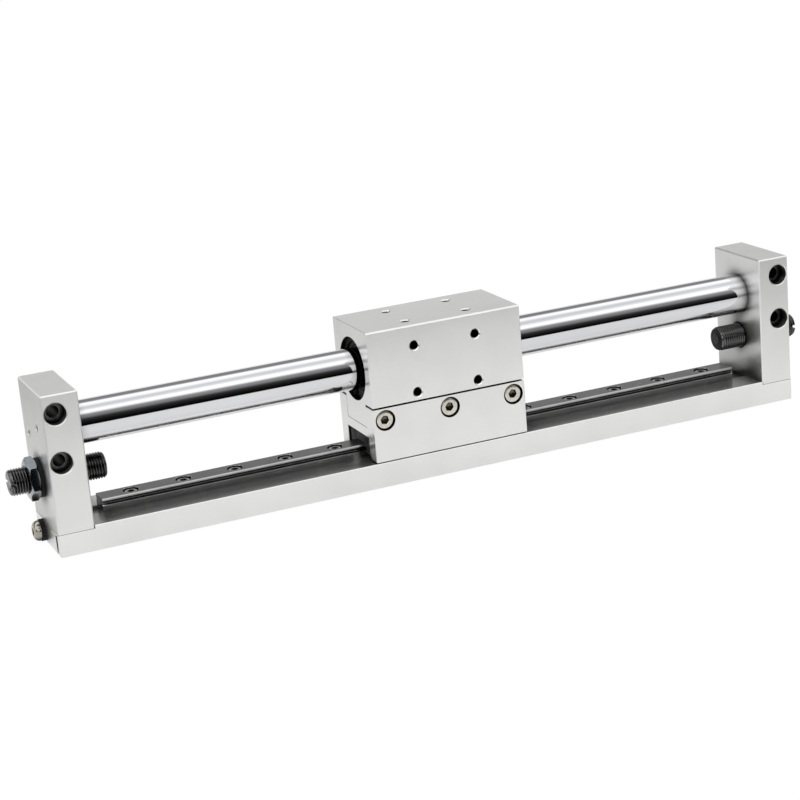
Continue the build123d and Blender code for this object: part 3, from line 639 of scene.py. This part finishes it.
def plated(name, colour, rough, grain=2 * MICRON, painted_shade=PLATED_PAINTED_SHADE):
    n = Nodes(name)
    n.set(Metallic=1.0)
    n.colour_from(n.noise(scale=700.0), shade(colour, 0.88), shade(colour, 1.08))
    n.paint_shade_in_hollows(**painted_shade)
    fine = n.noise(scale=5000.0, detail=2.0)
    n.roughness_from(fine, rough - 0.03, rough + 0.05)
    n.bump(fine, height=grain, strength=0.4)
    return n.material


def black_oxide(name, colour, rough):
    n = Nodes(name)
    n.set(Metallic=0.0, Specular_IOR_Level=0.2)
    n.colour_from(n.noise(scale=900.0), shade(colour, 0.8), shade(colour, 1.5))
    fine = n.noise(scale=5000.0, detail=2.0)
    n.roughness_from(fine, rough - 0.08, rough + 0.1)
    n.bump(fine, height=5 * MICRON, strength=0.5)
    return n.material


def moulded(name, colour, rough, gloss=0.5):
    """rubber or plastic as it comes from the mould"""
    n = Nodes(name)
    n.set(Specular_IOR_Level=gloss)
    n.colour_from(n.noise(scale=500.0), shade(colour, 0.85), shade(colour, 1.2))
    fine = n.noise(scale=4200.0)
    n.roughness_from(fine, rough - 0.06, rough + 0.06)
    n.bump(fine, height=8 * MICRON, strength=0.6)
    return n.material


ALUMINIUM = satin_aluminium("anodised_aluminium", (0.945, 0.943, 0.92), rough=0.24)
PLATE = plate_aluminium("plate_aluminium", (0.965, 0.963, 0.938), rough=0.32)
BASE = base_aluminium("base_aluminium", (0.955, 0.955, 0.937), rough=0.25, top_rough=0.24)
TUBE = polished_tube("polished_tube")
# the top and side colours are painted light and shade on one steel
RAIL = ground_rail("ground_rail", top=(0.2, 0.2, 0.195), side=(0.46, 0.46, 0.45), rough=0.22)
CARRIAGE = ground_steel("ground_carriage", (0.52, 0.52, 0.52), rough=0.3)
BRIGHT = plated("bright_plate", (0.72, 0.71, 0.68), rough=0.24)
# painted shade in the socket of the screw head
RAIL_SCREW = plated("rail_screw_plate", (0.55, 0.55, 0.53), rough=0.2,
                    painted_shade=dict(reach=1.6 * MM, low=0.35, high=0.8, dark=0.02, own=True))
# painted shade in the thread roots and the corners close by
BOLT = plated("dark_plate", (0.17, 0.174, 0.168), rough=0.12,
              painted_shade=dict(reach=1.4 * MM, low=0.5, high=0.9, dark=0.02))
ZINC = plated("blue_zinc", (0.47, 0.51, 0.55), rough=0.1, grain=1 * MICRON)
NICKEL = plated("warm_nickel", (0.76, 0.72, 0.62), rough=0.2)
# painted shade in the socket and round the head
BUTTON = plated("dull_nickel", (0.5, 0.475, 0.4), rough=0.14,
                painted_shade=dict(reach=4 * MM, low=0.35, high=0.85, dark=0.01))
BLACK = black_oxide("black_oxide", (0.009, 0.009, 0.0095), rough=0.5)
RUBBER = moulded("black_rubber", (0.02, 0.02, 0.021), rough=0.6)
PLASTIC = moulded("black_plastic", (0.006, 0.006, 0.0065), rough=0.5, gloss=0.1)
BUSH = moulded("cream_bush", (0.62, 0.60, 0.52), rough=0.4)
YOKE = ground_steel("yoke_steel", (0.48, 0.48, 0.49), rough=0.3, stretch=(1, 1, 1))
MAGNET = plated("nickel_magnet", (0.62, 0.62, 0.64), rough=0.2)
PISTON = satin_aluminium("piston_aluminium", (0.76, 0.76, 0.76), rough=0.34, metallic=0.9)

# The material of each slot in the record, and of the nodes that look different from the rest of theirs
SLOT_MATERIALS = {
    "anodised": ALUMINIUM, "tube_steel": TUBE, "rail_steel": CARRIAGE, "bolt_steel": BRIGHT,
    "ball_steel": BRIGHT, "black_steel": BLACK, "screw_black": BLACK, "yoke_steel": YOKE,
    "magnet": MAGNET, "bush_plastic": BUSH, "cap_plastic": PLASTIC, "seal_rubber": RUBBER,
    "insert_urethane": RUBBER, "piston_alu": PISTON,
}
NODE_MATERIALS = {
    # the rail, base, rail screws and end plates take materials with their own painted shade; the
    # carriage's end cap screws are dressed black as painted shade for the dark cavity they sit in
    "guide_rail": RAIL, "base_plate": BASE, "rail_screws": RAIL_SCREW, "carriage_cap_screws": BLACK,
    "end_plate_left": PLATE, "end_plate_right": PLATE,
}


def dress(piece, material):
    piece.data.materials.clear()
    piece.data.materials.append(material)


for node_name, node in nodes_of.items():
    dress(node, NODE_MATERIALS.get(node_name, SLOT_MATERIALS[slot_of[node_name]]))


# Pieces that replace plain solids, each at the place of its node

def stand_for(piece, material, body, *replaced):
    dress(piece, material)
    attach(piece, body)
    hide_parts(*replaced)
    return piece


def middle(node_name):
    low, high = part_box(node_name)
    return (Vector(low) + Vector(high)) / 2


def span(node_name):
    low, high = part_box(node_name)
    return Vector(low), Vector(high)


def make_tube():
    """the tube, with smooth round sides"""
    low, high = span("cylinder_tube")
    centre = middle("cylinder_tube")
    outer_r = (high.z - low.z) / 2
    inner_r = outer_r - TUBE_WALL
    profile = [(low.x, outer_r), (high.x, outer_r), (high.x, inner_r), (low.x, inner_r)]
    tube = lathe_x("tube_skin", profile, TUBE_SEGMENTS, centre.y, centre.z)
    stand_for(tube, TUBE, "base", "cylinder_tube")


def rail_side(half, bottom, top):
    """one side of the rail's outline, from the bottom up, as (y, z)"""
    track_z = top - TRACK_BELOW_TOP
    mouth = math.sqrt(TRACK_R ** 2 - TRACK_OUT ** 2)
    points = [(half, bottom), (half, track_z - mouth - TRACK_LIP)]
    slope = math.asin(mouth / TRACK_R) * TRACK_SHARE
    for i in range(TRACK_STEPS + 1):
        a = slope * (2 * i / TRACK_STEPS - 1)
        points.append((half + TRACK_OUT - TRACK_R * math.cos(a), track_z + TRACK_R * math.sin(a)))
    points += [(half, track_z + mouth + TRACK_LIP), (half, top - RAIL_EDGE), (half - RAIL_EDGE, top)]
    return points


def recess_cutter(rail_height):
    """what one screw's bore and counterbore take away, with the rail's top at height 0"""
    s = Rings(RECESS_SEGMENTS)
    s.ring(RAIL_BORE_R, -rail_height - MM)
    s.ring(RAIL_BORE_R, -RECESS_DEPTH)
    s.ring(RECESS_R, -RECESS_DEPTH)
    s.ring(RECESS_R, -RECESS_EDGE)
    s.ring(RECESS_R + RECESS_EDGE, 0)
    s.ring(RECESS_R + RECESS_EDGE, MM)
    s.cap(MM)
    s.cap(-rail_height - MM, first=0)
    return s


def make_rail():
    """the guide rail, with sloped lips on its ball grooves and broken edges on its counterbores"""
    low, high = span("guide_rail")
    mid_y = (low.y + high.y) / 2
    side = rail_side((high.y - low.y) / 2, low.z, high.z)
    outline = [(mid_y + y, z) for y, z in side] + [(mid_y - y, z) for y, z in reversed(side)]
    count = len(outline)
    verts = [(x, y, z) for x in (low.x, high.x) for y, z in outline]
    faces = [(i, (i + 1) % count, count + (i + 1) % count, count + i) for i in range(count)]
    faces += [tuple(reversed(range(count))), tuple(range(count, 2 * count))]
    rail = mesh_object("rail_bar", verts, faces)

    first, last = span("rail_screws")
    head_r = (last.y - first.y) / 2
    step = (last.x - first.x - 2 * head_r) / (RAIL_SCREWS - 1)
    recess = recess_cutter(high.z - low.z)
    recesses = [
        (recess, at((first.x + head_r + i * step, mid_y, high.z))) for i in range(RAIL_SCREWS)
    ]
    carve(rail, mesh_object("recess_cutter", *placed(recesses)))
    rail.data.set_sharp_from_angle(angle=math.radians(SHARP_DEG))
    stand_for(rail, RAIL, "base", "guide_rail")


def make_stop_bolt(side, outwards):
    """a stop bolt with its thread, a slot in its outer end and its inner end face painted black as shade
    """
    low, high = span(f"stop_bolt_{side}")
    centre = middle(f"stop_bolt_{side}")
    length = high.x - low.x
    bolt_r = (high.z - low.z) / 2
    outer_x = low.x if outwards < 0 else high.x
    place = at((outer_x, centre.y, centre.z), (-outwards, 0, 0))
    bolt = placed([(threaded_bolt(length, bolt_r), place)])
    piece = mesh_object(f"stop_bolt_{side}_thread", *bolt, sharp_deg=THREAD_SHARP_DEG)
    slot_x = sorted((outer_x + outwards * 2 * SLOT_DEPTH, outer_x - outwards * SLOT_DEPTH))
    slot_low = (slot_x[0], centre.y - 2 * bolt_r, centre.z - SLOT_WIDTH / 2)
    slot_high = (slot_x[1], centre.y + 2 * bolt_r, centre.z + SLOT_WIDTH / 2)
    carve(piece, brick("slot_cutter", slot_low, slot_high))
    stand_for(piece, BOLT, f"stop_{side}", f"stop_bolt_{side}")
    # painted shade: the faces of the inner end get the black material
    piece.data.materials.append(BLACK)
    for face in piece.data.polygons:
        at_inner_end = (face.center.x - outer_x) * -outwards > length - 2 * POCKET_DEPTH
        if at_inner_end and abs(face.normal.x) > 0.8:
            face.material_index = 1


def make_lock_nuts():
    """the lock nuts on the stop bolts, with round chamfers"""
    low, high = span("stop_lock_nuts")
    centre = middle("stop_lock_nuts")
    nut = hex_nut(NUT_FLATS, NUT_THICK, NUT_BORE_R)
    nuts = mesh_object("lock_nuts", *placed([
        (nut, at((low.x + NUT_THICK, centre.y, centre.z), (-1, 0, 0), NUT_TURN)),
        (nut, at((high.x - NUT_THICK, centre.y, centre.z), (1, 0, 0), -NUT_TURN)),
    ]))
    stand_for(nuts, ZINC, "base", "stop_lock_nuts")


def make_bracket_screws():
    """the socket screws that hold the bracket, in front and at the back"""
    low, high = span("bracket_screws")
    centre = middle("bracket_screws")
    screw = cap_screw(SCREW_R, CAP_HEAD_R, CAP_HEAD_HEIGHT, CAP_KEY, CAP_LENGTH)
    front_y = low.y + CAP_HEAD_HEIGHT
    back_y = high.y - CAP_HEAD_HEIGHT
    places = []
    for x in (low.x + CAP_HEAD_R, centre.x, high.x - CAP_HEAD_R):
        places.append((screw, at((x, front_y, centre.z), (0, -1, 0), CAP_TURN_FRONT)))
        places.append((screw, at((x, back_y, centre.z), (0, 1, 0), CAP_TURN_BACK)))
    stand_for(mesh_object("bracket_cap_screws", *placed(places)), NICKEL, "slider", "bracket_screws")


def make_end_buttons():
    """the button screws in the ends of the base"""
    low, high = span("base_end_screws")
    centre = middle("base_end_screws")
    button = button_screw(SCREW_R, (high.z - low.z) / 2, BUTTON_HEIGHT, BUTTON_KEY, BUTTON_LENGTH)
    buttons = mesh_object("base_end_buttons", *placed([
        (button, at((low.x + BUTTON_HEIGHT, centre.y, centre.z), (-1, 0, 0))),
        (button, at((high.x - BUTTON_HEIGHT, centre.y, centre.z), (1, 0, 0))),
    ]))
    stand_for(buttons, BUTTON, "base", "base_end_screws")


make_tube()
make_rail()
make_stop_bolt("left", -1)
make_stop_bolt("right", 1)
make_lock_nuts()
make_bracket_screws()
make_end_buttons()


# Floor, room, lamp and camera

def make_floor():
    """a pale floor, white to the camera, that metal mirrors in part and that keeps a faint shadow, with a
    painted pool of light round the object in its colour and glow
    """
    half = FLOOR_HALF
    corners = [(-half, -half, 0), (half, -half, 0), (half, half, 0), (-half, half, 0)]
    floor = mesh_object("floor", corners, [(0, 1, 2, 3)])
    floor.location.z = -FLOOR_DROP
    material = bpy.data.materials.new("floor_white")
    material.use_nodes = True
    material.node_tree.nodes.clear()
    g = Graph(material.node_tree)
    place = g.new("ShaderNodeTexCoord").outputs["Object"]
    # painted light: a pool of light that fades away from the object
    painted_floor_light = g.times(g.ramp(g.axis(place, "Y"), FLOOR_LIGHT_PAINTED_Y), g.ramp(g.axis(place, "X"), FLOOR_LIGHT_PAINTED_X))
    diffuse = g.new("ShaderNodeBsdfDiffuse")
    g.link(g.times(painted_floor_light, FLOOR_ALBEDO), diffuse.inputs["Color"])
    glow = g.new("ShaderNodeEmission", Color=(1, 1, 1, 1), Strength=FLOOR_GLOW)
    rays = g.new("ShaderNodeLightPath")
    mirror_share = g.times(painted_floor_light, FLOOR_GLOSS_SHARE)
    seen = g.times(rays.outputs["Is Camera Ray"], g.plus(g.times(painted_floor_light, -SHADOW_SHARE), 1.0))
    mirrored = g.times(rays.outputs["Is Glossy Ray"], mirror_share)
    through = g.times(rays.outputs["Is Transmission Ray"], mirror_share)
    surface = g.mixed(g.largest(g.largest(seen, mirrored), through), diffuse, glow)
    g.link(surface, g.new("ShaderNodeOutputMaterial").inputs["Surface"])
    dress(floor, material)


def make_world():
    """the light tent, with plain white behind it for the camera"""
    world = bpy.data.worlds.new("studio")
    bpy.context.scene.world = world
    world.use_nodes = True
    world.node_tree.nodes.clear()
    g = Graph(world.node_tree)
    direction = g.new("ShaderNodeTexCoord").outputs["Generated"]
    to_front = g.times(g.axis(direction, "Y"), -1.0)
    round_x = g.sum_of("ARCTAN2", g.axis(direction, "Z"), to_front)
    degrees_up = g.times(round_x, 180 / math.pi)
    to_right = g.spread(g.axis(direction, "X"), 0.0, TWIST, TWIST_FROM_X, TWIST_TO_X)
    low_down = g.spread(degrees_up, 0.0, 1.0, TWIST_NONE_ABOVE, TWIST_FULL_BELOW)
    twisted = g.plus(degrees_up, g.times(to_right, low_down))
    stops = [(degrees, level / ROOM_SCALE) for degrees, level in ROOM]
    room = g.new("ShaderNodeBackground", Strength=ROOM_SCALE)
    g.link(g.ramp(twisted, stops), room.inputs["Color"])
    white = g.new("ShaderNodeBackground", Color=(1, 1, 1, 1), Strength=1.0)
    camera_ray = g.new("ShaderNodeLightPath").outputs["Is Camera Ray"]
    g.link(g.mixed(camera_ray, room, white), g.new("ShaderNodeOutputWorld").inputs["Surface"])


def make_lamp():
    """a soft box, in front on the left"""
    lamp = bpy.data.lights.new("left_front", "AREA")
    lamp.shape = "RECTANGLE"
    lamp.size = LAMP_WIDTH
    lamp.size_y = LAMP_HEIGHT
    lamp.energy = LAMP_WATTS
    holder = bpy.data.objects.new("left_front", lamp)
    holder.location = LAMP_PLACE
    aim = Vector(LAMP_AIM) - Vector(LAMP_PLACE)
    holder.rotation_euler = aim.to_track_quat("-Z", "Y").to_euler()
    bpy.context.scene.collection.objects.link(holder)


def make_camera():
    camera_data = bpy.data.cameras.new("camera")
    camera_data.sensor_width = CAMERA_FILM
    camera_data.lens = CAMERA_LENS
    camera_data.clip_start = CAMERA_NEAR
    camera = bpy.data.objects.new("camera", camera_data)
    bpy.context.scene.collection.objects.link(camera)
    camera.location = CAMERA_PLACE
    camera.rotation_euler = CAMERA_TURN
    bpy.context.scene.camera = camera


make_floor()
make_world()
make_lamp()
make_camera()
bpy.context.scene.view_settings.view_transform = "Standard"
